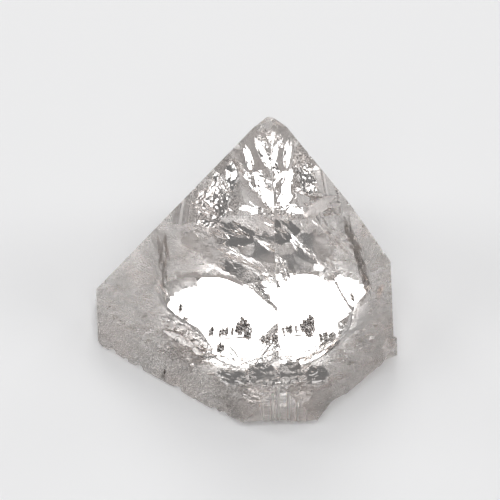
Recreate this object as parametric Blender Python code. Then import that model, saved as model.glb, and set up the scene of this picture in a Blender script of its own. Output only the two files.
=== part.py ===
"""A clear apophyllite point: one four-sided crystal, broken off its matrix and standing on the break.

Metres, +Z up. The origin is on the flat cleavage face that the crystal rests on, straight below the tip,
so Z is the crystal's four-fold axis. One corner of the pyramid points along -Y and one along +X.
"""

import math

import bmesh
import bpy
from mathutils import Matrix, Vector, noise

MM = 0.001

# Habit. The mineral's axial ratio c / a fixes the slope of the pyramid faces.
AXIAL_RATIO = 1.7587
HALF_DIAGONAL = 21.0 * MM  # axis to the corner where two pyramid faces would meet at the base
FACE_SLOPE = math.atan(AXIAL_RATIO)
EDGE_RISE = AXIAL_RATIO / math.sqrt(2)  # height lost for each unit outwards along an edge
IDEAL_HEIGHT = HALF_DIAGONAL * EDGE_RISE
BLOCK = 60 * MM  # the stock that the faces are cut from

# The prism faces cut off the pyramid's corners, each at its own distance from the axis.
PRISM_FACES = {
    "front": {"azimuth": -90, "distance": 17.0 * MM, "grooves": 9, "seed": 3},
    "right": {"azimuth": 0, "distance": 11.95 * MM, "grooves": 8, "seed": 5},
    "back": {"azimuth": 90, "distance": 15.2 * MM, "grooves": 8, "seed": 8},
    "left": {"azimuth": 180, "distance": 17.4 * MM, "grooves": 4, "seed": 13},
}
GROOVE_SHARE = (0.22, 0.36)  # half a groove's width, as a share of the pitch
GROOVE_SHIFT = 0.12  # how far a groove strays from its even place, as a share of the pitch
GROOVE_DEPTH = (0.08 * MM, 0.20 * MM)
GROOVE_LIP = 0.05 * MM  # how far outside the face the grooves' sides start
GROOVE_MARGIN = 0.97  # share of a prism face's width that the grooves spread over
CUTTER_OVERRUN = 2 * MM

# The right edge has grown short: steeper planes stand in for the ideal face behind it.
# Each is given by three places on the ideal pyramid, seen from above.
SHORT_PLANES = (
    ((1.5 * MM, 0.0), (7.8 * MM, -1.05 * MM), (9.0 * MM, 7.0 * MM)),
    ((7.8 * MM, -1.05 * MM), (12.0 * MM, -2.30 * MM), (8.5 * MM, 8.0 * MM)),
)

# The tip is worn to a small blunt cap.
TIP_HEIGHT = 24.75 * MM
TIP_PLANES = 7
TIP_LEAN = math.radians(33)
TIP_RADIUS = 0.62 * MM
TIP_TURN = 17  # degrees

# The break. The crystal rests on a mirror-flat cleavage patch; round it the surface is stepped and hackly.
# The outlines of the patch, and of a second flat, the ledge, are seen from above and in millimetres.
PATCH_OUTLINE = (
    (-8.0, 4.2), (-7.6, 5.4), (-6.8, 6.3), (-5.6, 6.7), (-3.9, 7.0), (-2.4, 6.7), (-0.7, 6.7),
    (0.4, 6.2), (1.7, 5.2), (2.7, 4.2), (3.6, 2.9), (4.3, 1.4), (4.9, 0.2), (5.1, -0.9),
    (4.7, -2.2), (4.4, -3.6), (3.6, -5.4), (2.1, -6.8), (0.4, -7.6), (-1.2, -7.9), (-2.8, -7.2),
    (-3.9, -6.2), (-4.3, -4.6), (-4.4, -3.0), (-4.9, -1.3), (-6.1, -0.2), (-7.0, 0.9), (-7.8, 2.5),
)
LEDGE_OUTLINE = (
    (3.2, 6.0), (4.4, 5.2), (5.6, 4.7), (6.6, 3.4), (7.2, 2.3), (7.4, 0.9), (6.4, 0.7),
    (5.6, 1.0), (4.8, 1.9), (3.9, 3.3), (3.3, 4.6),
)
LEDGE_HEIGHT = 0.30 * MM
LEDGE_RIM = (0.3 * MM, 0.7 * MM)  # how far outside its outline the ledge runs out into the break
BREAK_CELL = 0.62 * MM
CELL_JITTER = 0.28
PATCH_CLEARANCE = 0.4 * MM  # how far below the patch the break's cutter passes
RIM_SLOPE = 0.6  # how steeply the break leaves the patch
CUTTER_DEPTH = 4 * MM
LOWEST_BREAK = 0.04 * MM
BREAK_LEVEL = 0.08 * MM
RIM_RISE = 0.20 * MM
HACKLE = {"coarse": 0.26 * MM, "coarse_size": 3.4 * MM, "fine": 0.12 * MM, "fine_size": 1.3 * MM}
CLEAVAGE_STEP = 0.15 * MM
# Towards the front left rim the break runs out almost level with the patch.
LEVEL_RIM = {"begins": 7.5 * MM, "ends": 12.0 * MM, "relief": 0.30}

# Long steps in the break: from one place to another, with the ground on their left side raised.
BREAK_STEPS = (
    {"start": (-8.2 * MM, 3.5 * MM), "end": (-6.6 * MM, 14.5 * MM), "rise": 0.42 * MM, "reach": 3.5 * MM},
    {"start": (1.1 * MM, 16.0 * MM), "end": (6.8 * MM, 7.0 * MM), "rise": 0.46 * MM, "reach": 3.0 * MM},
    {"start": (-3.0 * MM, -15.0 * MM), "end": (-4.2 * MM, -8.4 * MM), "rise": 0.22 * MM, "reach": 2.4 * MM},
    {"start": (5.5 * MM, -6.4 * MM), "end": (11.5 * MM, -2.6 * MM), "rise": 0.30 * MM, "reach": 3.0 * MM},
)
# Places where more of the underside has spalled away, towards the rim.
SPALLS = (
    {"centre": (12.6 * MM, -8.6 * MM), "radius": 11.5 * MM, "depth": 1.25 * MM},
    {"centre": (6.0 * MM, -15.2 * MM), "radius": 4.6 * MM, "depth": 0.75 * MM},
    {"centre": (-1.5 * MM, -17.6 * MM), "radius": 8.0 * MM, "depth": 0.55 * MM},
    {"centre": (-17.8 * MM, -2.6 * MM), "radius": 1.8 * MM, "depth": 0.60 * MM},
    {"centre": (-9.5 * MM, 12.5 * MM), "radius": 6.0 * MM, "depth": 1.10 * MM},
    {"centre": (6.0 * MM, 15.0 * MM), "radius": 7.0 * MM, "depth": 0.90 * MM},
)

# Small conchoidal chips along the foot of each pyramid face, evenly spaced but uneven in size.
RIM_CHIPS = (
    {"start": (-17.1 * MM, -3.9 * MM), "end": (-4.2 * MM, -16.8 * MM), "count": 8, "seed": 51},
    {"start": (4.4 * MM, -16.6 * MM), "end": (11.8 * MM, -9.2 * MM), "count": 5, "seed": 52},
    {"start": (-16.6 * MM, 4.4 * MM), "end": (-6.2 * MM, 14.8 * MM), "count": 6, "seed": 53},
    {"start": (3.4 * MM, 14.8 * MM), "end": (9.6 * MM, 7.6 * MM), "count": 4, "seed": 54},
)
RIM_CHIP_RADIUS = (0.38 * MM, 0.64 * MM)
RIM_CHIP_PLACE = (0.35, 0.65)  # where a chip falls within its own share of the rim
# Single chips higher up, each given by its place in plan and its radius.
EDGE_CHIPS = (
    {"at": (4.1 * MM, -0.34 * MM), "radius": 0.42 * MM},
    {"at": (6.6 * MM, -0.80 * MM), "radius": 0.38 * MM},
    {"at": (7.8 * MM, -1.05 * MM), "radius": 0.36 * MM},
    {"at": (11.4 * MM, -2.10 * MM), "radius": 0.50 * MM},
    {"at": (-7.4 * MM, 0.25 * MM), "radius": 0.34 * MM},
    {"at": (0.1 * MM, 9.2 * MM), "radius": 0.70 * MM},
)
CHIP_ROUGHNESS = 0.35
CHIP_OUTSET = 0.35  # share of its radius that a chip's centre stands off the surface

# A knob of the matrix side that stands out past the right prism face, at its foot.
KNOB = {"centre": (11.2 * MM, -6.9 * MM, 1.80 * MM), "radii": (1.25 * MM, 2.3 * MM, 1.1 * MM), "seed": 24}
KNOB_ROUGHNESS = 0.55
KNOB_FLOOR = 0.12 * MM

# Pits in the cleavage patch, in clusters: centre, how far they spread, how many.
PIT_CLUSTERS = (
    {"centre": (0.3 * MM, -1.5 * MM), "spread": (0.55 * MM, 1.0 * MM), "count": 4, "seed": 31},
    {"centre": (-2.5 * MM, -2.0 * MM), "spread": (1.1 * MM, 0.25 * MM), "count": 5, "seed": 32},
)
PIT_RADIUS = (0.13 * MM, 0.18 * MM)
PIT_FLATNESS = 0.6
PIT_ROUGHNESS = 0.3


def spread_of(seed, index, low, high):
    """A repeatable value between low and high for the index-th item of a seed."""
    share = noise.cell(Vector((seed * 7.31 + index * 3.17, seed * 1.93 - index * 5.71, 0.5)))
    return low + (high - low) * share


def smooth(value, low, high):
    share = min(1.0, max(0.0, (value - low) / (high - low)))
    return share * share * (3 - 2 * share)


def horizontal(azimuth):
    turn = math.radians(azimuth)
    return Vector((math.cos(turn), math.sin(turn), 0))


def ideal_height(x, y):
    """Height of the ideal pyramid above a place in plan."""
    return IDEAL_HEIGHT - EDGE_RISE * (abs(x) + abs(y))


def keep_inside(bm, point, normal):
    """Cuts the closed shape by a plane, drops what lies in front of it and closes the cut."""
    geometry = bm.verts[:] + bm.edges[:] + bm.faces[:]
    cut = bmesh.ops.bisect_plane(
        bm, geom=geometry, plane_co=point, plane_no=normal, clear_outer=True
    )
    rim = [item for item in cut["geom_cut"] if isinstance(item, bmesh.types.BMEdge)]
    if rim:
        bmesh.ops.edgenet_fill(bm, edges=rim)


def cut_pyramid(bm):
    reach = HALF_DIAGONAL * math.cos(math.radians(45)) * math.sin(FACE_SLOPE)
    for azimuth in (45, 135, 225, 315):
        normal = horizontal(azimuth) * math.sin(FACE_SLOPE) + Vector((0, 0, math.cos(FACE_SLOPE)))
        keep_inside(bm, normal * reach, normal)


def cut_prism(bm):
    for face in PRISM_FACES.values():
        out = horizontal(face["azimuth"])
        keep_inside(bm, out * face["distance"], out)


def cut_short_planes(bm):
    for places in SHORT_PLANES:
        a, b, c = (Vector((x, y, ideal_height(x, y))) for x, y in places)
        normal = (b - a).cross(c - a).normalized()
        keep_inside(bm, a, normal if normal.z > 0 else -normal)


def cut_tip(bm):
    up = Vector((0, 0, 1))
    keep_inside(bm, up * TIP_HEIGHT, up)
    for i in range(TIP_PLANES):
        out = horizontal(360 * i / TIP_PLANES + TIP_TURN)
        lean = TIP_LEAN * spread_of(41, i, 0.75, 1.2)
        radius = TIP_RADIUS * spread_of(42, i, 0.35, 1.0)
        keep_inside(bm, up * TIP_HEIGHT + out * radius, out * math.sin(lean) + up * math.cos(lean))


def outline_distance(x, y, outline):
    """Distance in plan to an outline, negative inside it."""
    place, inside, nearest = Vector((x, y)) / MM, False, math.inf
    for start, end in zip(outline, outline[1:] + outline[:1]):
        a, b = Vector(start), Vector(end)
        share = (place - a).dot(b - a) / (b - a).length_squared
        nearest = min(nearest, (place - a.lerp(b, min(1.0, max(0.0, share)))).length)
        if (a.y > place.y) != (b.y > place.y):
            inside ^= place.x < a.x + (place.y - a.y) / (b.y - a.y) * (b.x - a.x)
    return -nearest * MM if inside else nearest * MM


def step_height(x, y, step):
    """Raised ground on the left of a long step, fading out with the distance from it."""
    start, end = Vector(step["start"]), Vector(step["end"])
    length = (end - start).length
    along = (end - start) / length
    place = Vector((x, y)) - start
    ahead = place.dot(along)
    side = along.x * place.y - along.y * place.x
    side += 0.5 * MM * noise.noise(Vector((x, y, 0)) / (2.1 * MM))
    in_line = smooth(ahead, -1.0 * MM, 0.5 * MM) * (1 - smooth(ahead, length, length + MM))
    raised = smooth(side, -0.15 * MM, 0.15 * MM) * (1 - smooth(side, 0.6 * step["reach"], step["reach"]))
    return step["rise"] * in_line * raised


def spall_height(x, y):
    height = 0.0
    for spall in SPALLS:
        away = math.dist((x, y), spall["centre"]) / spall["radius"]
        if away < 1:
            height += spall["depth"] * 2 * (1 - smooth(away, -1, 1))
    return height


def break_height(x, y):
    """Height of the broken underside above the patch that the crystal rests on."""
    rim = outline_distance(x, y, PATCH_OUTLINE)
    place = Vector((x, y, 0))
    coarse = abs(noise.noise(place / HACKLE["coarse_size"] + Vector((3.1, 7.7, 0)))) * 2 * HACKLE["coarse"]
    fine = noise.noise(place / HACKLE["fine_size"] + Vector((11.3, 2.9, 0))) * HACKLE["fine"]
    ground = RIM_RISE * smooth(rim, 0, 0.5 * MM) + coarse
    ground += sum(step_height(x, y, step) for step in BREAK_STEPS)
    tread = math.floor(ground / CLEAVAGE_STEP) * CLEAVAGE_STEP
    riser = smooth(ground - tread, 0.55 * CLEAVAGE_STEP, CLEAVAGE_STEP) * CLEAVAGE_STEP
    towards_front_left = -(x + y) / math.sqrt(2)
    level = smooth(towards_front_left, LEVEL_RIM["begins"], LEVEL_RIM["ends"])
    ground = (tread + riser + fine) * (1 - (1 - LEVEL_RIM["relief"]) * level) + BREAK_LEVEL
    ledge = outline_distance(x, y, LEDGE_OUTLINE)
    ground += (LEDGE_HEIGHT - ground) * (1 - smooth(ledge, *LEDGE_RIM))
    ground = max(LOWEST_BREAK, ground + spall_height(x, y))
    return max(-PATCH_CLEARANCE, min(ground, rim * RIM_SLOPE))


def object_of(name, bm, material=None):
    bmesh.ops.recalc_face_normals(bm, faces=bm.faces)
    mesh = bpy.data.meshes.new(name)
    bm.to_mesh(mesh)
    bm.free()
    made = bpy.data.objects.new(name, mesh)
    bpy.context.scene.collection.objects.link(made)
    if material:
        mesh.materials.append(material)
    return made


def helper_of(name, bm):
    helper = object_of(name, bm)
    helper.hide_render = True
    helper.display_type = "WIRE"
    return helper


def break_cutter():
    """The matrix side of the break: a slab whose top is the broken surface."""
    reach = HALF_DIAGONAL + 2 * MM
    cells = round(2 * reach / BREAK_CELL)
    bm = bmesh.new()
    bmesh.ops.create_grid(bm, x_segments=cells, y_segments=cells, size=reach)
    for vert in bm.verts:
        if max(abs(vert.co.x), abs(vert.co.y)) < reach - MM:
            place = vert.co / (1.1 * MM)
            shift_x, shift_y = noise.noise(place), noise.noise(place + Vector((0, 0, 9.5)))
            vert.co += Vector((shift_x, shift_y, 0)) * CELL_JITTER * BREAK_CELL
        vert.co.z = break_height(vert.co.x, vert.co.y)
    grown = bmesh.ops.extrude_face_region(bm, geom=bm.faces[:])
    for item in grown["geom"]:
        if isinstance(item, bmesh.types.BMVert):
            item.co.z = -CUTTER_DEPTH
    bmesh.ops.triangulate(bm, faces=bm.faces)
    return helper_of("cutter_break", bm)


def rough_ball(bm, centre, radii, seed, roughness, subdivisions=2):
    """A faceted, slightly irregular ball, added to the shape."""
    made = bmesh.ops.create_icosphere(bm, subdivisions=subdivisions, radius=1.0)
    for vert in made["verts"]:
        swell = 1 + roughness * noise.noise(vert.co * 1.7 + Vector((seed * 5.3, -seed * 2.1, seed)))
        vert.co = Vector(centre) + Vector(tuple(c * r * swell for c, r in zip(vert.co, radii)))


def rim_chips(bm, row):
    start, end = Vector(row["start"]), Vector(row["end"])
    for i in range(row["count"]):
        share = (i + spread_of(row["seed"], i, *RIM_CHIP_PLACE)) / row["count"]
        place = start.lerp(end, share)
        radius = spread_of(row["seed"] + 0.5, i, *RIM_CHIP_RADIUS)
        height = break_height(place.x, place.y) - CHIP_OUTSET * radius
        rough_ball(bm, (place.x, place.y, height), (radius,) * 3, row["seed"] + i, CHIP_ROUGHNESS)


def chip_cutter():
    bm = bmesh.new()
    for row in RIM_CHIPS:
        rim_chips(bm, row)
    for i, chip in enumerate(EDGE_CHIPS):
        x, y = chip["at"]
        centre = (x, y, ideal_height(x, y) + CHIP_OUTSET * chip["radius"])
        rough_ball(bm, centre, (chip["radius"],) * 3, i, CHIP_ROUGHNESS)
    return helper_of("cutter_chips", bm)


def groove_profile(face):
    """Places across a prism face, each with how far outside the face it lies, for all of its grooves."""
    seed, count = face["seed"], face["grooves"]
    half_width = (HALF_DIAGONAL - face["distance"]) * GROOVE_MARGIN
    pitch = 2 * half_width / count
    profile = [(half_width, CUTTER_OVERRUN), (-half_width, CUTTER_OVERRUN)]
    for i in range(count):
        middle = pitch * (i + 0.5 + spread_of(seed, i, -GROOVE_SHIFT, GROOVE_SHIFT)) - half_width
        before, after = (spread_of(seed + k, i, *GROOVE_SHARE) * pitch for k in (0.3, 0.6))
        depth = spread_of(seed + 0.9, i, *GROOVE_DEPTH)
        profile += [(middle - before, GROOVE_LIP), (middle, -depth), (middle + after, GROOVE_LIP)]
    return profile


def groove_cutter():
    """Upright V grooves, the striations of the prism faces: one fluted bar for each face."""
    bm = bmesh.new()
    for face in PRISM_FACES.values():
        out = horizontal(face["azimuth"])
        side = Vector((-out.y, out.x, 0))
        middle = out * face["distance"] - Vector((0, 0, CUTTER_OVERRUN))
        corners = [middle + side * across + out * clear for across, clear in groove_profile(face)]
        foot = bm.faces.new([bm.verts.new(corner) for corner in corners])
        bar = bmesh.ops.extrude_face_region(bm, geom=[foot])
        top = [item for item in bar["geom"] if isinstance(item, bmesh.types.BMVert)]
        bmesh.ops.translate(bm, verts=top, vec=Vector((0, 0, CUTTER_OVERRUN + IDEAL_HEIGHT)))
    bmesh.ops.triangulate(bm, faces=bm.faces)
    return helper_of("cutter_grooves", bm)


def pit_cutter():
    bm = bmesh.new()
    for cluster in PIT_CLUSTERS:
        seed, count = cluster["seed"], cluster["count"]
        for i in range(count):
            along, across = (i + 0.5) / count * 2 - 1, spread_of(seed, i, -1, 1)
            wide = cluster["spread"][0] > cluster["spread"][1]
            share_x, share_y = (along, across) if wide else (across, along)
            x = cluster["centre"][0] + cluster["spread"][0] * share_x
            y = cluster["centre"][1] + cluster["spread"][1] * share_y
            radius = spread_of(seed + 0.3, i, *PIT_RADIUS)
            radii = (radius, radius, PIT_FLATNESS * radius)
            rough_ball(bm, (x, y, 0), radii, seed + i, PIT_ROUGHNESS, subdivisions=1)
    return helper_of("cutter_pits", bm)


def knob_shape():
    bm = bmesh.new()
    rough_ball(bm, KNOB["centre"], KNOB["radii"], KNOB["seed"], KNOB_ROUGHNESS, subdivisions=1)
    keep_inside(bm, Vector((0, 0, KNOB_FLOOR)), Vector((0, 0, -1)))
    return helper_of("union_knob", bm)


def crystal_material():
    material = bpy.data.materials.new("clear_apophyllite")
    material.use_nodes = True
    shader = material.node_tree.nodes["Principled BSDF"]
    shader.inputs["Base Color"].default_value = (0.93, 0.92, 0.91, 1)
    shader.inputs["Roughness"].default_value = 0.08
    shader.inputs["IOR"].default_value = 1.535
    shader.inputs["Transmission Weight"].default_value = 1.0
    return material


def crystal_body():
    bm = bmesh.new()
    bmesh.ops.create_cube(bm, size=BLOCK, matrix=Matrix.Translation((0, 0, BLOCK / 2)))
    cut_pyramid(bm)
    cut_prism(bm)
    cut_short_planes(bm)
    cut_tip(bm)
    return object_of("apophyllite_crystal", bm, crystal_material())


def apply_shape(body, helper, operation):
    modifier = body.modifiers.new(helper.name, "BOOLEAN")
    modifier.operation = operation
    modifier.solver = "EXACT"
    modifier.object = helper


def main():
    for old in list(bpy.data.objects):
        bpy.data.objects.remove(old)
    crystal = crystal_body()
    apply_shape(crystal, groove_cutter(), "DIFFERENCE")
    apply_shape(crystal, break_cutter(), "DIFFERENCE")
    apply_shape(crystal, knob_shape(), "UNION")
    apply_shape(crystal, chip_cutter(), "DIFFERENCE")
    apply_shape(crystal, pit_cutter(), "DIFFERENCE")


main()
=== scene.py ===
import math
import random

import bmesh
import bpy
from mathutils import Matrix, Vector, noise
from mathutils.bvhtree import BVHTree


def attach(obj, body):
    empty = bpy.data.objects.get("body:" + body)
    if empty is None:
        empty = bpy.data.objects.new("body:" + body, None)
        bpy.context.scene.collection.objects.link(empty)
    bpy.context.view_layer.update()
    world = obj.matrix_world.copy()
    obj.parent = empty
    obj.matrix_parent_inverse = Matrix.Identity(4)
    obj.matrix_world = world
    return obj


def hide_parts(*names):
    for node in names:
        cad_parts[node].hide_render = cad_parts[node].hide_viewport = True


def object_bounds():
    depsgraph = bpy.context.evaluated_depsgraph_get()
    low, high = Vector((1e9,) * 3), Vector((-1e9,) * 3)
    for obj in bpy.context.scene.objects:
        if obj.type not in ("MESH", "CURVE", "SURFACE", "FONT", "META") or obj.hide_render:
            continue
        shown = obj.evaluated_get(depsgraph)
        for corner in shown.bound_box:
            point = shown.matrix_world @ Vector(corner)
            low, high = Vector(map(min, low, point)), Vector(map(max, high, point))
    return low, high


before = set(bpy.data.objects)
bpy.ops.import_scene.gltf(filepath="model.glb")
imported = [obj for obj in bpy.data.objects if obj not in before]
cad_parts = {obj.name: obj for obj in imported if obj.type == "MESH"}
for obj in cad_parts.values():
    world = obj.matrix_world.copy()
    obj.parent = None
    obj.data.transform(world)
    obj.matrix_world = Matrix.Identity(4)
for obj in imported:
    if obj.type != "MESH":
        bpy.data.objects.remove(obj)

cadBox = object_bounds()
mm = 0.001
print("frame loaded")


def newObject(name, bm, material):
    mesh = bpy.data.meshes.new(name)
    bm.to_mesh(mesh)
    bm.free()
    mesh.materials.append(material)
    made = bpy.data.objects.new(name, mesh)
    bpy.context.scene.collection.objects.link(made)
    return made


view = {
    "azimuth": -3.48,  # degrees from the front, towards the left
    "elevation": 38.3,
    "distance": 700 * mm,
    "width": 50 * mm,  # what the render's width takes in at the target
    "target": (0, 0, 8 * mm),
    "aside": (-1.965 * mm, 0.5 * mm),  # how far the frame's middle lies from the target
    "sensor": 36,
    "clip": (10 * mm, 20),
}


def makeCamera():
    turn, rise = math.radians(view["azimuth"]), math.radians(view["elevation"])
    back = Vector((math.sin(turn) * math.cos(rise), -math.cos(turn) * math.cos(rise), math.sin(rise)))
    right = Vector((math.cos(turn), math.sin(turn), 0))
    up = back.cross(right)
    middle = Vector(view["target"]) + right * view["aside"][0] + up * view["aside"][1]
    data = bpy.data.cameras.new("camera")
    data.sensor_width = view["sensor"]
    data.lens = view["sensor"] * view["distance"] / view["width"]
    data.clip_start, data.clip_end = view["clip"]
    camera = bpy.data.objects.new("camera", data)
    facing = back.to_track_quat("Z", "Y").to_matrix().to_4x4()
    camera.matrix_world = Matrix.Translation(middle + back * view["distance"]) @ facing
    bpy.context.scene.collection.objects.link(camera)
    bpy.context.scene.camera = camera
    print("camera set")


studio = {
    "world": (0.16, 0.16, 0.161),  # dim light all round, which the clear parts mirror between the boxes
    "aim": (0, 0, 8 * mm),
    "distance": 420 * mm,
    # azimuth from +X and elevation in degrees, width and height in millimetres, radiance
    "boxes": {
        "back": (88, 38, 170, 130, 7.5),
        "backLeft": (143, 42, 120, 170, 2.6),
        "backRight": (36, 40, 120, 170, 2.2),
        "left": (192, 36, 130, 180, 5.2),
        "right": (344, 36, 130, 180, 5.2),
        "front": (266, 42, 220, 170, 4.6),
        "top": (60, 84, 170, 170, 2.4),
    },
}


def makeLights():
    world = bpy.data.worlds.new("studio")
    bpy.context.scene.world = world
    world.use_nodes = True
    world.node_tree.nodes["Background"].inputs["Color"].default_value = (*studio["world"], 1)
    aim = Vector(studio["aim"])
    for name, (azimuth, elevation, width, height, radiance) in studio["boxes"].items():
        turn, rise = math.radians(azimuth), math.radians(elevation)
        out = Vector((math.cos(turn) * math.cos(rise), math.sin(turn) * math.cos(rise), math.sin(rise)))
        data = bpy.data.lights.new(name + "Box", "AREA")
        data.shape = "RECTANGLE"
        data.size, data.size_y = width * mm, height * mm
        data.energy = radiance * math.pi * data.size * data.size_y
        lamp = bpy.data.objects.new(name + "Box", data)
        lamp.visible_camera = False
        facing = out.to_track_quat("Z", "Y").to_matrix().to_4x4()
        lamp.matrix_world = Matrix.Translation(aim + out * studio["distance"]) @ facing
        bpy.context.scene.collection.objects.link(lamp)
    print("studio lit with", len(studio["boxes"]), "soft boxes")


ground = {
    "drop": 0.03 * mm,  # a hair of air under the resting face
    "halfSize": 3.0,  # metres
    "color": (0.82, 0.82, 0.825, 1),
    "roughness": 0.7,
}


def makeFloor():
    bm = bmesh.new()
    drop = Matrix.Translation((0, 0, -ground["drop"]))
    bmesh.ops.create_grid(bm, x_segments=1, y_segments=1, size=ground["halfSize"], matrix=drop)
    material = bpy.data.materials.new("paleFloor")
    material.use_nodes = True
    shader = material.node_tree.nodes["Principled BSDF"]
    shader.inputs["Base Color"].default_value = ground["color"]
    shader.inputs["Roughness"].default_value = ground["roughness"]
    floor = newObject("floor", bm, material)
    print("floor laid")


crystal = {
    "node": "apophyllite_crystal",
    "mergeWithin": 0.0005 * mm,
    "flatWithin": 0.3,  # degrees; faces that meet at less than this are joined into one
    "edgeWear": 0.11 * mm,
    "wearSegments": 2,
    "shortestWorn": 4,  # in edge wears; a shorter edge stays as it is
    "wornRoughness": 0.5,
    "restLevels": (0, 0.30 * mm),  # the flat cleavage that it rests on, and the ledge beside it
    "faintLines": 0.2,  # how strong the growth lines are on the upright faces other than the front one
    "leastPrism": 0.8 * mm * mm,  # an upright face smaller than this belongs to the break
    # how far a face looks up or down: a pyramid face at least, an upright one at most, a level one at least;
    # and how far the front face looks to the front
    "slopes": {"pyramid": 0.25, "upright": 0.02, "level": 0.9999, "front": 0.5},
    "sharpAngle": 14,  # degrees; only edges bent more than this are worn
    "breakCuts": 2,  # how finely the broken underside is divided
    "breakSmoothing": 0.5,
    "hackle": (0.08 * mm, 0.6 * mm),  # height and size of the relief where the break is glassy
    "grain": (0.030 * mm, 0.24 * mm),  # the same where it is frosted
    "finer": 0.4,  # height and size of the finer relief on both, as shares of theirs
    "glassyRoughness": 0.22,
    "frostedRoughness": 0.62,
    "patchMiddle": (-1.2 * mm, -0.2 * mm),
    "patchRadii": (6.5 * mm, 7.3 * mm),
    "frostBegins": 1.0,  # in patch radii from the patch's middle
    "frostFull": 1.45,
    "glassyFront": (-10.2 * mm, 3.6 * mm),  # y and half width of the glassy break at the front
    "glassyFade": 1.0 * mm,
    "glassyShare": 0.5,  # how much of the frost it takes away
    "frostCloud": (0.12, 1.6 * mm),  # how strong and how large the uneven patches of frost are
    "lowest": 0.02 * mm,  # how near the resting level the break and the pits may come
    # the seam between the flat and its ledge, and how far beside it the break is made flat, in millimetres
    "seam": ((2.3, 5.7), (3.0, 4.5), (3.75, 3.1), (4.6, 1.7), (5.3, 0.6)),
    "seamWidth": 0.55,
    "seamRunout": 0.1,  # how far each stretch of it reaches past its ends, as a share of its length
    "rust": ((-11.1 * mm, -8.9 * mm, 0.1 * mm), 0.225 * mm, 0.45 * mm),  # a speck: its place, core and reach
}

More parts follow.
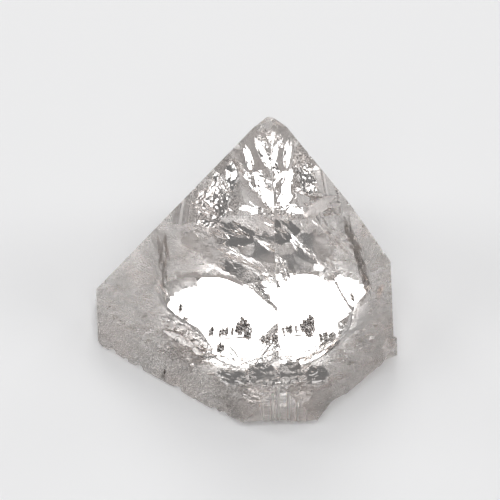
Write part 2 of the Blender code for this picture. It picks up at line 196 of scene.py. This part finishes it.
# Fractures inside are thin gaps of air. Lengths are in millimetres and angles in degrees.
fractures = {
    "seed": 11,
    "gap": 0.035,
    "gapVaries": (0.6, 0.8, 1.1),  # least share of the gap in a sheet, what is added to it, and how closely
    "cover": 0.008,  # a sliver or pit with less crystal than this over it is left out
    "fine": 2.35,  # a sheet larger than this is divided more finely
    "long": 1.3,  # and a sliver whose half length is more than this
    "crumples": ((1, 0.10), (2.5, 0.05), (5.5, 0.02)),  # how close and how high each layer of crumples is
    "sheetRim": ((1.3, 0.35), (4.3, 0.32)),  # the same for the uneven rim of a sheet
    "sliverRim": (2.2, 0.9),  # and of a sliver
    "sliverWander": (1.6, 0.12),  # and for its sideways wander
    "sliverCrumple": 0.7,  # a sliver's crumples, as a share of a sheet's
    # how much each kind is crumpled, the size of its crumples, their stretch along it,
    # and its frost, warmth and dark tint, which is painted shade where the gaps should look dark and a real
    # stain in a few
    "kinds": {
        "mirror": (0.32, 1.0, 1.8, 0, 0, 0),
        "sheet": (0.80, 0.9, 1.6, 0, 0, 0),
        "crackle": (1.20, 0.6, 1.0, 0, 0, 0),
        "veil": (0.55, 0.7, 1.0, 0.30, 0.9, 0),
        # painted shade: these gaps are tinted dark where the crystal should look dark, partly a real stain
        "stained": (0.80, 0.7, 1.4, 0.05, 0.3, 0.6),
        "shade": (0.32, 0.6, 1.4, 0.04, 0.3, 0),
        "film": (0.08, 1.4, 1.0, 0.12, 0.5, 0),
        "cream": (0.50, 0.8, 1.0, 0.24, 0.9, 0),
    },
    # kind, middle, half sizes, lean of the normal from the vertical, the way it leans, turn in plan, bend
    "sheets": [
        ("mirror", (0.5, -0.6, 17.1), (1.3, 2.9), 1, 200, 4, 0.05),
        ("mirror", (0.6, 2.1, 19.2), (0.45, 2.6), 2, 30, 3, 0.04),
        ("mirror", (-1.1, 1.6, 19.1), (0.40, 2.2), 2, 330, -3, 0.04),
        ("mirror", (0.1, -0.4, 14.0), (2.2, 0.55), 1, 280, -17, 0.05),
        ("sheet", (-1.3, 2.2, 16.9), (0.5, 2.2), 2, 150, 22, 0.05),
        ("sheet", (-3.0, 2.4, 15.2), (0.8, 1.6), 3, 160, 10, 0.08),
        ("crackle", (1.9, 1.7, 18.5), (0.8, 1.7), 6, 60, 10, 0.05),
        ("crackle", (0.1, 1.3, 21.3), (0.45, 1.1), 5, 300, 20, 0.05),
        ("crackle", (-4.0, 2.6, 12.8), (2.2, 3.0), 38, 189, -20, 0.20),
        ("crackle", (-2.7, 1.6, 17.0), (1.0, 2.0), 37, 189, -20, 0.15),
        ("crackle", (2.4, 1.4, 16.8), (1.3, 2.4), 37, 350, 20, 0.15),
        ("shade", (-2.1, 0.6, 10.3), (2.3, 2.9), 8, 70, -20, 0.06),
        ("shade", (-3.2, -6.2, 11.05), (1.3, 3.0), 8, 70, 42, 0.03),
        ("shade", (-1.3, -8.1, 10.6), (0.9, 1.4), 8, 70, 30, 0.03),
        ("shade", (-0.7, -10.2, 10.9), (0.4, 0.7), 8, 70, 10, 0.03),
        ("film", (1.8, -2.2, 10.0), (3.2, 4.0), 8, 88, 0, 0.02),
        ("film", (-4.9, -0.6, 9.8), (2.6, 3.4), 8, 74, 10, 0.03),
        ("shade", (-2.0, 1.9, 17.9), (0.50, 1.8), 9, 90, 0, 0.05),
        ("cream", (3.7, 0.4, 13.6), (1.1, 2.2), 1, 88, -35, 0.05),
        ("cream", (-8.2, -4.7, 1.4), (0.7, 1.9), 2, 70, 41, 0.05),
        ("crackle", (-3.8, -12.1, 2.2), (2.0, 1.8), 9, 75, -15, 0.05),
        ("crackle", (-0.3, -12.5, 2.6), (2.0, 2.3), 7, 90, 0, 0.05),
        ("crackle", (3.1, -12.3, 2.2), (1.8, 2.0), 9, 105, 15, 0.05),
        ("crackle", (-1.8, -14.4, 1.8), (1.8, 1.3), 7, 80, -8, 0.05),
        ("crackle", (1.5, -15.0, 1.8), (1.6, 1.4), 8, 95, 8, 0.05),
        ("mirror", (0.7, -3.0, 11.5), (0.22, 1.1), 1, 90, 30, 0.05),
        ("mirror", (-4.7, 0.5, 11.5), (0.20, 1.1), 1, 90, 25, 0.05),
        ("mirror", (-6.5, -3.5, 10.6), (0.20, 0.9), 1, 90, -75, 0.05),
    ],
    # How the slivers of a train vary: their scatter along x, y and z as shares of its stray, the spread of
    # their aim, their width as a share of the train's, and their bow.
    "scatter": (0.5, 0.5, 0.3),
    "aimSpread": (0.25, 0.25, 0.03),
    "widthSpread": (0.5, 1.5),
    "bowSpread": 0.2,
    # Trains of slivers: kind, two ends, how many, how far they stray, the slivers' half length and half
    # width, their turn in plan (None follows the train) and how far they roll about their length.
    "trains": [
        ("sheet", (-4.1, -2.2, 10.8), (-0.7, -5.0, 10.8), 36, 0.45, (0.4, 1.7), 0.20, -44, 4),
        ("sheet", (-0.6, -4.7, 10.8), (0.3, -7.5, 10.8), 16, 0.4, (0.4, 1.2), 0.24, -60, 4),
        ("sheet", (0.6, -1.6, 11.0), (4.0, -5.1, 11.0), 10, 0.3, (0.5, 2.0), 0.17, -50, 4),
        ("sheet", (2.8, 1.6, 11.0), (6.6, -1.2, 9.0), 20, 0.8, (0.4, 1.7), 0.18, -48, 5),
        ("sheet", (3.0, -0.8, 8.4), (5.2, -2.0, 7.2), 12, 0.6, (0.4, 1.4), 0.18, -52, 5),
        ("sheet", (-6.0, 2.4, 12.0), (-3.2, 1.8, 12.6), 16, 0.8, (0.3, 1.3), 0.18, -50, 6),
        ("sheet", (-1.0, -1.2, 14.6), (1.4, -2.4, 14.6), 9, 0.5, (0.3, 1.0), 0.20, 60, 8),
        ("crackle", (-6.4, -0.6, 11.6), (-3.4, -1.2, 12.2), 14, 0.9, (0.3, 1.1), 0.16, -60, 8),
        ("crackle", (0.2, 0.8, 13.4), (3.2, 1.2, 12.9), 10, 0.6, (0.3, 1.0), 0.14, -40, 8),
        ("veil", (1.4, 3.0, 14.2), (5.0, 2.0, 11.4), 40, 0.8, (0.3, 1.0), 0.36, -40, 6),
        ("veil", (-8.8, -1.4, 0.9), (-5.2, -5.6, 0.9), 44, 0.7, (0.3, 0.9), 0.40, -55, 6),
        ("mirror", (-8.6, -1.6, 1.2), (-5.8, -5.2, 1.2), 16, 0.7, (0.15, 0.5), 0.14, -55, 8),
        ("stained", (5.4, 5.5, 7.0), (7.6, 1.9, 1.5), 60, 0.45, (0.6, 2.0), 0.12, None, 90),
        ("sheet", (5.9, 4.8, 6.0), (7.8, 1.7, 1.7), 10, 0.5, (0.3, 0.9), 0.20, None, 25),
        ("stained", (-8.9, 4.2, 6.9), (-8.9, 1.2, 3.2), 40, 0.5, (0.5, 1.6), 0.11, None, 90),
        ("stained", (-3.0, 1.2, 10.6), (1.2, 1.0, 9.2), 34, 1.2, (0.4, 1.4), 0.13, -50, 60),
        ("stained", (-4.6, -10.2, 1.0), (3.4, -10.6, 1.0), 46, 1.2, (0.3, 1.0), 0.12, 20, 70),
        ("crackle", (-5.0, -10.6, 1.2), (4.2, -10.6, 1.2), 40, 1.4, (0.2, 0.8), 0.12, -30, 60),
        ("crackle", (-5.4, -5.9, 0.45), (0.3, -7.9, 0.45), 26, 0.25, (0.3, 0.8), 0.16, None, 40),
        ("crackle", (0.6, -7.7, 0.45), (4.9, -4.0, 0.45), 26, 0.25, (0.3, 0.8), 0.16, None, 40),
        ("mirror", (-14.0, -1.5, 1.6), (-8.0, -8.6, 1.2), 40, 2.4, (0.10, 0.28), 0.13, 20, 6),
        ("stained", (-14.5, -1.0, 2.0), (-8.5, -7.0, 1.2), 50, 2.8, (0.10, 0.5), 0.08, 20, 80),
        ("mirror", (10.0, 1.0, 1.8), (5.5, -10.0, 1.2), 30, 1.6, (0.10, 0.28), 0.13, 20, 6),
        ("stained", (10.5, 1.5, 2.0), (6.5, -9.0, 1.2), 36, 1.8, (0.10, 0.5), 0.08, 20, 80),
        ("stained", (-15.6, -1.6, 2.6), (-12.4, -5.6, 1.6), 22, 0.2, (0.10, 0.35), 0.07, None, 80),
        ("mirror", (-9.7, 1.9, 3.6), (-9.0, 1.0, 3.0), 8, 0.4, (0.3, 0.7), 0.22, None, 8),
        ("mirror", (9.2, 1.4, 2.4), (8.8, 0.6, 1.6), 6, 0.3, (0.3, 0.6), 0.26, None, 6),
        ("mirror", (8.8, -5.0, 1.1), (8.5, -5.5, 1.1), 3, 0.2, (0.3, 0.5), 0.26, None, 6),
    ],
    # Hairlines beside the resting face: start and end in plan, height, half width.
    "hairlineLean": 62,
    "hairlineBow": 0.15,
    "hairlines": [
        ((4.2, -2.3), (0.3, -6.9), 0.26, 0.17),
        ((4.3, -2.8), (1.3, -6.4), 0.24, 0.13),
        ((4.2, -3.3), (2.3, -6.0), 0.28, 0.17),
        ((3.6, -2.6), (1.0, -5.4), 0.22, 0.10),
        ((4.4, -3.9), (1.6, -5.3), 0.24, 0.14),
        ((1.9, -5.4), (-1.9, -7.1), 0.24, 0.14),
        ((-2.3, -4.6), (-1.6, -6.9), 0.24, 0.12),
        ((-2.7, -4.9), (-2.2, -6.6), 0.20, 0.09),
        ((-3.4, -3.4), (2.6, -3.7), 0.20, 0.06),
    ],
    # Clusters of pits just over the resting face: middle, half sizes in plan, and how many.
    "clusters": [
        ((0.25, -1.6, 0.2), (0.9, 1.45), 58),
        ((-2.5, -2.05, 0.2), (1.5, 0.4), 34),
        ((3.0, -3.5, 0.2), (1.1, 0.3), 18),
        ((-3.2, -4.6, 0.2), (0.4, 0.5), 12),
        ((-6.2, 1.9, 0.2), (0.2, 0.2), 2),
        ((-10.95, -8.85, 0.6), (0.10, 0.10), 9),
    ],
    "pit": (0.07, 0.19),  # least and greatest half width
    "pitHeight": 2.0,  # how tall a pit is for its width
    "pitKnobs": (1.7, 0.8),  # how close and how high its knobs are
    "pitFrost": 0.1,
    # the pits' dark tint: painted shade on most of them, a real rust speck in the smallest cluster
    "pitStainAndShade": 0.95,
}


def smoothStep(value, low, high):
    share = min(1.0, max(0.0, (value - low) / (high - low)))
    return share * share * (3 - 2 * share)


def frostAt(place):
    middle, radii = crystal["patchMiddle"], crystal["patchRadii"]
    away = math.hypot((place.x - middle[0]) / radii[0], (place.y - middle[1]) / radii[1])
    frost = smoothStep(away, crystal["frostBegins"], crystal["frostFull"])
    (front, halfWidth), fade = crystal["glassyFront"], crystal["glassyFade"]
    glassy = smoothStep(-place.y, -front - fade, -front + fade)
    glassy *= 1 - smoothStep(abs(place.x), halfWidth - fade, halfWidth + fade)
    frost *= 1 - crystal["glassyShare"] * glassy
    strength, size = crystal["frostCloud"]
    return max(0, frost + strength * noise.noise(place / size))


def roughnessAt(place):
    glassy, frosted = crystal["glassyRoughness"], crystal["frostedRoughness"]
    return glassy + (frosted - glassy) * frostAt(place)


def onRest(height):
    return any(abs(height - level) < crystal["mergeWithin"] for level in crystal["restLevels"])


def finishOf(face):
    upward, slopes = face.normal.z, crystal["slopes"]
    if upward < -slopes["level"] and onRest(face.calc_center_median().z):
        return "rest"
    if upward > slopes["pyramid"]:
        return "polished"
    if abs(upward) < slopes["upright"] and face.calc_area() > crystal["leastPrism"]:
        return "striated"
    return "break"


def wearEdges(bm):
    above = {face for face in bm.faces if face.normal.z > -crystal["slopes"]["upright"]}
    edges = [edge for edge in bm.edges if any(face in above for face in edge.link_faces)]
    verts = [vert for vert in bm.verts if any(face in above for face in vert.link_faces)]
    bmesh.ops.dissolve_limit(bm, angle_limit=math.radians(crystal["flatWithin"]), verts=verts, edges=edges)
    worn = []
    for edge in bm.edges:
        kinds = [finishOf(face) for face in edge.link_faces]
        short = edge.calc_length() < crystal["shortestWorn"] * crystal["edgeWear"]
        if short or "break" in kinds or "rest" in kinds:
            continue
        if edge.calc_face_angle_signed(0) > math.radians(crystal["sharpAngle"]):
            worn.append(edge)
    made = bmesh.ops.bevel(
        bm, geom=worn, offset=crystal["edgeWear"], offset_type="OFFSET", affect="EDGES",
        segments=crystal["wearSegments"], profile=0.5, material=-1, clamp_overlap=True,
    )
    return made["faces"]


def paint(faces, layer, frost=0, striation=0, warmth=0, rust=0):
    for face in faces:
        for loop in face.loops:
            loop[layer] = (frost, striation, warmth, rust)


def besideSeam(place):  # how far a place lies to the ledge's side of the seam, or None past its ends
    spot = Vector((place.x / mm, place.y / mm))
    nearest, runout = None, crystal["seamRunout"]
    for start, end in zip(crystal["seam"], crystal["seam"][1:]):
        start, end = Vector(start), Vector(end)
        share = (spot - start).dot(end - start) / (end - start).length_squared
        if -runout <= share <= 1 + runout:
            away = (end - start).normalized().cross(spot - start)
            if nearest is None or abs(away) < abs(nearest):
                nearest = away
    return nearest


def sharpenSeam(verts):
    for vert in verts:
        away = besideSeam(vert.co)
        if away is not None and abs(away) < crystal["seamWidth"]:
            vert.co.z = crystal["restLevels"][1 if away > 0 else 0]


def reliefAt(place, height, size):
    finer = crystal["finer"]
    relief = height * noise.noise(place / size)
    return relief + finer * height * noise.noise(place / (finer * size) + Vector((5, 0, 0)))


def roughenBreak(bm, layer):
    def isBroken(face):  # a broken face is marked 1 until it gets its own roughness
        return face.loops[0][layer][0] > 0.9

    edges = [edge for edge in bm.edges if any(isBroken(face) for face in edge.link_faces)]
    bmesh.ops.subdivide_edges(bm, edges=edges, cuts=crystal["breakCuts"], use_grid_fill=True)
    broken = [face for face in bm.faces if isBroken(face)]
    inner = [vert for vert in bm.verts if all(isBroken(face) for face in vert.link_faces)]
    bmesh.ops.smooth_vert(
        bm, verts=inner, factor=crystal["breakSmoothing"], use_axis_x=True, use_axis_y=True, use_axis_z=True,
    )
    sharpenSeam(inner)
    bm.normal_update()
    for vert in inner:
        if onRest(vert.co.z):
            continue
        frost = frostAt(vert.co)
        push = (1 - frost) * reliefAt(vert.co, *crystal["hackle"])
        push += frost * reliefAt(vert.co, *crystal["grain"])
        vert.co += vert.normal * push
        vert.co.z = max(crystal["lowest"], vert.co.z)
        for axis in (0, 1):
            vert.co[axis] = min(max(vert.co[axis], cadBox[0][axis]), cadBox[1][axis])
    bm.normal_update()
    rustPlace, rustCore, rustReach = crystal["rust"]
    for face in broken:
        if finishOf(face) == "rest":
            paint([face], layer)
            continue
        face.smooth = True
        for loop in face.loops:
            place = loop.vert.co
            rust = 1 - smoothStep((place - Vector(rustPlace)).length, rustCore, rustReach)
            loop[layer] = (roughnessAt(place), 0, 0, rust)


def closeGap(bm, layer, verts, frost=0, warmth=0, stain=0):
    faces = {face for vert in verts for face in vert.link_faces}
    bmesh.ops.reverse_faces(bm, faces=list(faces))  # the crystal lies outside the gap
    for face in faces:
        face.smooth = True
    # the fourth channel takes a dark tint: painted shade on gaps that should look dark, and a real stain on
    # a few
    paint(faces, layer, frost=frost, warmth=warmth, rust=stain)


def crumple(spot, cell, amount):
    height = sum(high * noise.noise(spot / cell * close) for close, high in fractures["crumples"])
    return amount * cell * height


def within(body, verts):  # whether all of them lie inside the crystal, with enough of it over them
    for vert in verts:
        near, normal, index, distance = body.find_nearest(vert.co)
        if distance < fractures["cover"] * mm or (near - vert.co).dot(normal) < 0:
            return False
    return True


def addSheet(bm, layer, seed, kind, middle, size, lean, towards, turn, bend):
    crackle, cell, stretch, *look = fractures["kinds"][kind]
    (wide, high), (close, low) = fractures["sheetRim"]
    least, more, closely = fractures["gapVaries"]
    made = bmesh.ops.create_icosphere(bm, subdivisions=5 if max(size) > fractures["fine"] else 4, radius=1)
    tip = Matrix.Rotation(math.radians(towards), 4, "Z") @ Matrix.Rotation(math.radians(lean), 4, "Y")
    spin = Matrix.Rotation(math.radians(turn - towards), 4, "Z")
    place = Matrix.Translation(Vector(middle) * mm) @ tip @ spin
    for vert in made["verts"]:
        x, y, z = vert.co
        around = Vector((x, y, 0)).normalized()
        rim = 1 + high * noise.noise(around * wide + Vector((seed, 3.1, 0)))
        rim += low * noise.noise(around * close + Vector((0, seed, 7)))
        u, v = x * size[0] * rim, y * size[1] * rim
        spot = Vector((u, v / stretch, seed * 5.7))
        bowl = bend * ((u / size[0]) ** 2 + 0.5 * (v / size[1]) ** 2 - 0.5)
        wave = bowl + crumple(spot, cell, crackle)
        gap = fractures["gap"] * (least + more * abs(noise.noise(spot * closely)))
        vert.co = place @ (Vector((u, v, wave + 0.5 * z * gap)) * mm)
    closeGap(bm, layer, made["verts"], *look)


def addSliver(bm, layer, body, kind, middle, along, normal, halfLength, halfWidth, bow, seed):
    crackle, cell, stretch, *look = fractures["kinds"][kind]
    (ragged, deep), (wander, aside) = fractures["sliverRim"], fractures["sliverWander"]
    across = normal.cross(along).normalized()
    normal = along.cross(across).normalized()
    made = bmesh.ops.create_icosphere(bm, subdivisions=3 if halfLength > fractures["long"] else 2, radius=1)
    for vert in made["verts"]:
        x, y, z = vert.co
        u = x * halfLength
        side = y * halfWidth * (1 + deep * noise.noise(Vector((u * ragged, seed, 0))))
        side += bow * (1 - x * x) + aside * noise.noise(Vector((u * wander, 9, seed)))
        wave = crumple(Vector((u / stretch, side, seed)), cell, fractures["sliverCrumple"] * crackle)
        spot = middle + along * u + across * side + normal * (wave + 0.5 * z * fractures["gap"])
        vert.co = spot * mm
    if within(body, made["verts"]):
        closeGap(bm, layer, made["verts"], *look)
    else:
        bmesh.ops.delete(bm, geom=made["verts"], context="VERTS")


def addTrain(bm, layer, body, draw, kind, start, end, count, stray, lengths, halfWidth, turn, roll):
    start, end, up = Vector(start), Vector(end), Vector((0, 0, 1))
    along = (end - start).normalized()
    if turn is not None:
        along = Matrix.Rotation(math.radians(turn), 3, "Z") @ Vector((1, 0, 0))
    for i in range(count):
        away = Vector([draw.gauss(0, spread) for spread in fractures["scatter"]]) * stray
        middle = start.lerp(end, (i + draw.random()) / count) + away
        sway = Vector([draw.uniform(-spread, spread) for spread in fractures["aimSpread"]])
        aim = (along + sway).normalized()
        normal = Matrix.Rotation(math.radians(draw.uniform(-roll, roll)), 3, aim) @ up
        wide = halfWidth * draw.uniform(*fractures["widthSpread"])
        long = draw.uniform(*lengths)
        bow = draw.uniform(-fractures["bowSpread"], fractures["bowSpread"])
        addSliver(bm, layer, body, kind, middle, aim, normal, long, wide, bow, i * 3.7)


def addPits(bm, layer, body, draw, middle, size, count):
    close, high = fractures["pitKnobs"]
    for i in range(count):
        turn, reach = draw.uniform(0, 2 * math.pi), math.sqrt(draw.random())
        x = middle[0] + size[0] * reach * math.cos(turn)
        y = middle[1] + size[1] * reach * math.sin(turn)
        radius = draw.uniform(*fractures["pit"])
        made = bmesh.ops.create_icosphere(bm, subdivisions=2, radius=1)
        for vert in made["verts"]:
            swell = radius * (1 + high * noise.noise(vert.co * close + Vector((i, x, y))))
            vert.co.z *= fractures["pitHeight"]
            vert.co = (Vector((x, y, middle[2])) + vert.co * swell) * mm
            vert.co.z = max(crystal["lowest"], vert.co.z)
        if within(body, made["verts"]):
            closeGap(bm, layer, made["verts"], frost=fractures["pitFrost"], stain=fractures["pitStainAndShade"])
        else:
            bmesh.ops.delete(bm, geom=made["verts"], context="VERTS")


def addHairline(bm, layer, body, seed, start, end, height, halfWidth):
    start, end = Vector((*start, height)), Vector((*end, height))
    middle, half = (start + end) / 2, (end - start) / 2
    aim, bow = half.normalized(), fractures["hairlineBow"]
    normal = Matrix.Rotation(math.radians(fractures["hairlineLean"]), 3, aim) @ Vector((0, 0, 1))
    addSliver(bm, layer, body, "stained", middle, aim, normal, half.length, halfWidth, bow, seed * 1.9)


def addFractures(bm):
    body = BVHTree.FromBMesh(bm)
    draw = random.Random(fractures["seed"])
    rows = [(addSheet, (seed, *row)) for seed, row in enumerate(fractures["sheets"])]
    rows += [(addTrain, (body, draw, *row)) for row in fractures["trains"]]
    rows += [(addHairline, (body, seed, *row)) for seed, row in enumerate(fractures["hairlines"])]
    rows += [(addPits, (body, draw, *row)) for row in fractures["clusters"]]
    for add, row in rows:
        gaps = bmesh.new()  # each row is made in a mesh of its own, which is far quicker
        add(gaps, gaps.loops.layers.float_color.new("finish"), *row)
        mesh = bpy.data.meshes.new("gaps")
        gaps.to_mesh(mesh)
        gaps.free()
        bm.from_mesh(mesh)
        bpy.data.meshes.remove(mesh)


def newGroup(name, inputs, outputs):
    group = bpy.data.node_groups.new(name, "ShaderNodeTree")
    for label, kind, value in inputs:
        socket = group.interface.new_socket(label, in_out="INPUT", socket_type=kind)
        socket.default_value = value
    for label, kind in outputs:
        group.interface.new_socket(label, in_out="OUTPUT", socket_type=kind)
    return group, group.nodes.new("NodeGroupInput"), group.nodes.new("NodeGroupOutput")


finish = {
    "ior": 1.535,
    "clear": (0.98, 0.953, 0.93, 1),
    "warm": (0.975, 0.895, 0.855, 1),
    # the rust colour; the dark fractures and pits also take it as painted shade
    "rust": (0.14, 0.105, 0.085, 1),
    "rubbedFrom": 21.0 * mm,  # the tip is rubbed dull from this height to its top
    "rubbedTop": 24.5 * mm,
    "rubbedRoughness": 0.22,
    "tintPatch": 4.0 * mm,
    "tintCover": (0.45, 0.75),  # where in the cloud noise the warm patches begin and are full
    "striation": (0.30 * mm, 9.0 * mm),  # width and length of a growth line
    "striationDepth": 0.028,  # millimetres
    "speck": 0.20 * mm,  # size of the fine specks in the frost
    "speckDepth": 0.14,  # millimetres
}


def tintGroup():
    group, given, out = newGroup(
        "mineralTint",
        [
            ("Clear", "NodeSocketColor", finish["clear"]),
            ("Warm", "NodeSocketColor", finish["warm"]),
            ("Rust", "NodeSocketColor", finish["rust"]),
            ("Warmth", "NodeSocketFloat", 0.0),
            ("Rust And Painted Shade", "NodeSocketFloat", 0.0),
            ("Patch Size", "NodeSocketFloat", finish["tintPatch"]),
        ],
        [("Color", "NodeSocketColor")],
    )
    nodes, links = group.nodes, group.links
    coordinates = nodes.new("ShaderNodeTexCoord")
    shrink = nodes.new("ShaderNodeVectorMath")
    shrink.operation = "DIVIDE"
    size = nodes.new("ShaderNodeCombineXYZ")
    for axis in range(3):
        links.new(given.outputs["Patch Size"], size.inputs[axis])
    links.new(coordinates.outputs["Object"], shrink.inputs[0])
    links.new(size.outputs[0], shrink.inputs[1])
    cloud = nodes.new("ShaderNodeTexNoise")
    cloud.inputs["Scale"].default_value = 1
    cloud.inputs["Detail"].default_value = 3
    links.new(shrink.outputs[0], cloud.inputs["Vector"])
    patches = nodes.new("ShaderNodeMapRange")
    patches.inputs["From Min"].default_value = finish["tintCover"][0]
    patches.inputs["From Max"].default_value = finish["tintCover"][1]
    links.new(cloud.outputs["Fac"], patches.inputs["Value"])
    warmth = nodes.new("ShaderNodeMath")
    warmth.operation = "MAXIMUM"
    links.new(patches.outputs[0], warmth.inputs[0])
    links.new(given.outputs["Warmth"], warmth.inputs[1])
    warm = nodes.new("ShaderNodeMix")
    warm.data_type = "RGBA"
    links.new(warmth.outputs[0], warm.inputs["Factor"])
    links.new(given.outputs["Clear"], warm.inputs["A"])
    links.new(given.outputs["Warm"], warm.inputs["B"])
    # darkens towards the rust colour: a real rust speck, and painted shade on the dark fractures and pits
    rust = nodes.new("ShaderNodeMix")
    rust.data_type = "RGBA"
    links.new(given.outputs["Rust And Painted Shade"], rust.inputs["Factor"])
    links.new(warm.outputs["Result"], rust.inputs["A"])
    links.new(given.outputs["Rust"], rust.inputs["B"])
    links.new(rust.outputs["Result"], out.inputs["Color"])
    return group


def reliefGroup():
    group, given, out = newGroup(
        "mineralRelief",
        [
            ("Striation", "NodeSocketFloat", 0.0),
            ("Frost", "NodeSocketFloat", 0.0),
            ("Striation Depth", "NodeSocketFloat", finish["striationDepth"]),
            ("Speck Depth", "NodeSocketFloat", finish["speckDepth"]),
        ],
        [("Height", "NodeSocketFloat")],
    )
    nodes, links = group.nodes, group.links
    coordinates = nodes.new("ShaderNodeTexCoord")
    (wide, long), speck = finish["striation"], finish["speck"]
    heights = []
    for mask, depth, scale in (
        ("Striation", "Striation Depth", (1 / wide, 1 / wide, 1 / long)),
        ("Frost", "Speck Depth", (1 / speck, 1 / speck, 1 / speck)),
    ):
        spread = nodes.new("ShaderNodeMapping")
        spread.inputs["Scale"].default_value = scale
        links.new(coordinates.outputs["Object"], spread.inputs["Vector"])
        grain = nodes.new("ShaderNodeTexNoise")
        grain.inputs["Scale"].default_value = 1
        grain.inputs["Detail"].default_value = 2
        links.new(spread.outputs[0], grain.inputs["Vector"])
        masked = nodes.new("ShaderNodeMath")
        masked.operation = "MULTIPLY"
        links.new(grain.outputs["Fac"], masked.inputs[0])
        links.new(given.outputs[mask], masked.inputs[1])
        deep = nodes.new("ShaderNodeMath")
        deep.operation = "MULTIPLY"
        links.new(masked.outputs[0], deep.inputs[0])
        links.new(given.outputs[depth], deep.inputs[1])
        heights.append(deep)
    total = nodes.new("ShaderNodeMath")
    links.new(heights[0].outputs[0], total.inputs[0])
    links.new(heights[1].outputs[0], total.inputs[1])
    links.new(total.outputs[0], out.inputs["Height"])
    return group


def crystalMaterial():
    material = bpy.data.materials.new("clearApophyllite")
    material.use_nodes = True
    nodes, links = material.node_tree.nodes, material.node_tree.links
    shader = nodes["Principled BSDF"]
    shader.inputs["IOR"].default_value = finish["ior"]
    shader.inputs["Transmission Weight"].default_value = 1.0
    masks = nodes.new("ShaderNodeAttribute")
    masks.attribute_name = "finish"
    split = nodes.new("ShaderNodeSeparateColor")
    links.new(masks.outputs["Color"], split.inputs[0])
    coordinates = nodes.new("ShaderNodeTexCoord")
    height = nodes.new("ShaderNodeSeparateXYZ")
    links.new(coordinates.outputs["Object"], height.inputs[0])
    rubbed = nodes.new("ShaderNodeMapRange")
    rubbed.inputs["From Min"].default_value = finish["rubbedFrom"]
    rubbed.inputs["From Max"].default_value = finish["rubbedTop"]
    rubbed.inputs["To Max"].default_value = finish["rubbedRoughness"]
    links.new(height.outputs["Z"], rubbed.inputs["Value"])
    rough = nodes.new("ShaderNodeMath")
    rough.operation = "MAXIMUM"
    links.new(split.outputs["Red"], rough.inputs[0])
    links.new(rubbed.outputs[0], rough.inputs[1])
    links.new(rough.outputs[0], shader.inputs["Roughness"])
    tint = nodes.new("ShaderNodeGroup")
    tint.node_tree = tintGroup()
    links.new(split.outputs["Blue"], tint.inputs["Warmth"])
    # the alpha channel carries the real rust speck and the painted shade of the dark gaps
    links.new(masks.outputs["Alpha"], tint.inputs["Rust And Painted Shade"])
    links.new(tint.outputs["Color"], shader.inputs["Base Color"])
    relief = nodes.new("ShaderNodeGroup")
    relief.node_tree = reliefGroup()
    links.new(split.outputs["Green"], relief.inputs["Striation"])
    links.new(split.outputs["Red"], relief.inputs["Frost"])
    bump = nodes.new("ShaderNodeBump")
    bump.inputs["Distance"].default_value = mm
    links.new(relief.outputs["Height"], bump.inputs["Height"])
    links.new(bump.outputs["Normal"], shader.inputs["Normal"])
    return material


def makeCrystal():
    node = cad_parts[crystal["node"]]
    bm = bmesh.new()
    bm.from_mesh(node.data)
    bmesh.ops.remove_doubles(bm, verts=bm.verts, dist=crystal["mergeWithin"])
    layer = bm.loops.layers.float_color.new("finish")
    worn = wearEdges(bm)
    for face in bm.faces:
        kind = finishOf(face)
        lines = 1 if face.normal.y < -crystal["slopes"]["front"] else crystal["faintLines"]
        paint([face], layer, frost=kind == "break", striation=lines * (kind == "striated"))
    paint(worn, layer, frost=crystal["wornRoughness"])
    bmesh.ops.triangulate(bm, faces=[face for face in bm.faces if len(face.verts) > 4])
    roughenBreak(bm, layer)
    print("crystal's break roughened,", len(bm.faces), "faces")
    addFractures(bm)
    bmesh.ops.triangulate(bm, faces=bm.faces)
    openEdges = sum(len(edge.link_faces) != 2 for edge in bm.edges)
    print("crystal fractured,", len(bm.faces), "faces,", openEdges, "open edges")
    piece = newObject("apophyllitePoint", bm, crystalMaterial())
    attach(piece, "root")
    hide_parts(crystal["node"])


makeCamera()
makeLights()
makeFloor()
makeCrystal()

clearBounces = 24  # light crosses and mirrors off many gaps before it leaves the crystal
scene = bpy.context.scene
scene.view_settings.view_transform = "Standard"
scene.cycles.max_bounces = clearBounces
scene.cycles.transmission_bounces = clearBounces
scene.cycles.glossy_bounces = clearBounces
scene.cycles.diffuse_bounces = 3
scene.cycles.caustics_refractive = True
scene.cycles.caustics_reflective = True
scene.cycles.use_denoising = True
